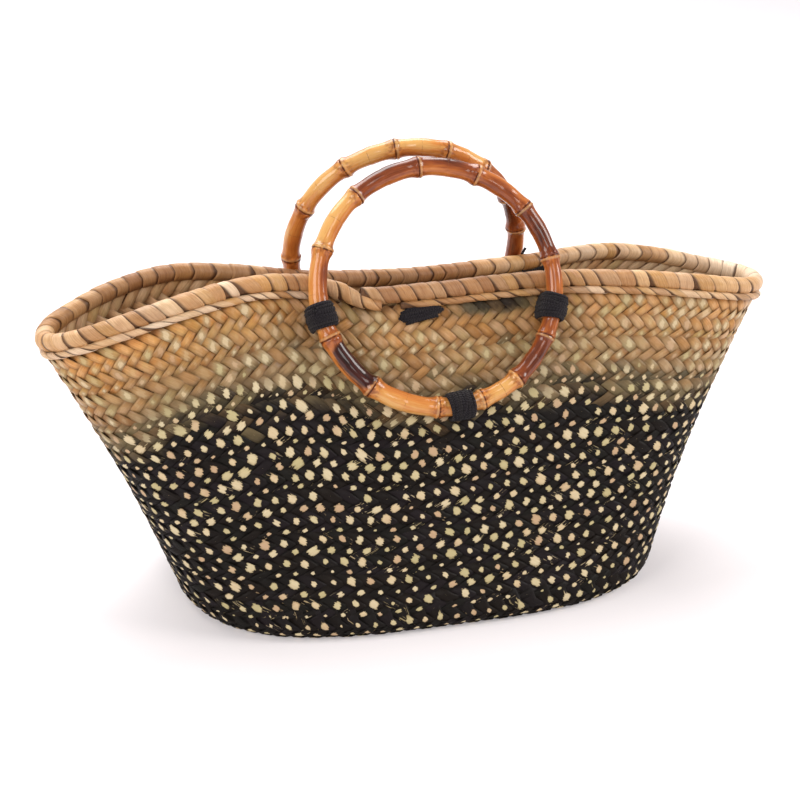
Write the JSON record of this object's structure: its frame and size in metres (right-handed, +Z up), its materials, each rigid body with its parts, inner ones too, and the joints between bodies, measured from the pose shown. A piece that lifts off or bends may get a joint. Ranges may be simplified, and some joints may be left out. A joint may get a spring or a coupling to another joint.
{
  "type": "straw basket bag",
  "caption": "Oval straw market basket bag of plaited palm leaf, dark below and natural above, pinched at the mouth by round bamboo handles lashed to its walls with dark cord.",
  "frame": {"origin": "bottom centre of the overall box, on the surface that the bag stands on", "axes": "+X along the bag's length, to the right seen from the front; -Y is the front with the roll's start; +Z up"},
  "size_m": [0.5246, 0.2387, 0.306],
  "materials": {
    "straw": "plaited palm leaf, natural above and dyed black below with cream spots",
    "rim_straw": "natural palm leaf wrapped round a core",
    "bamboo": "glossy varnished bamboo with scorched joints",
    "cord": "matt black yarn wound in turns"
  },
  "bodies": {
    "root": {"woven_body": "straw", "rim_roll": "rim_straw", "rim_piping": "rim_straw", "front_handle": "bamboo", "back_handle": "bamboo", "front_lashing_left": "cord", "front_lashing_right": "cord", "front_lashing_bottom": "cord", "back_lashing_left": "cord", "back_lashing_right": "cord", "back_lashing_bottom": "cord", "front_stitch": "cord"}
  },
  "joints": []
}
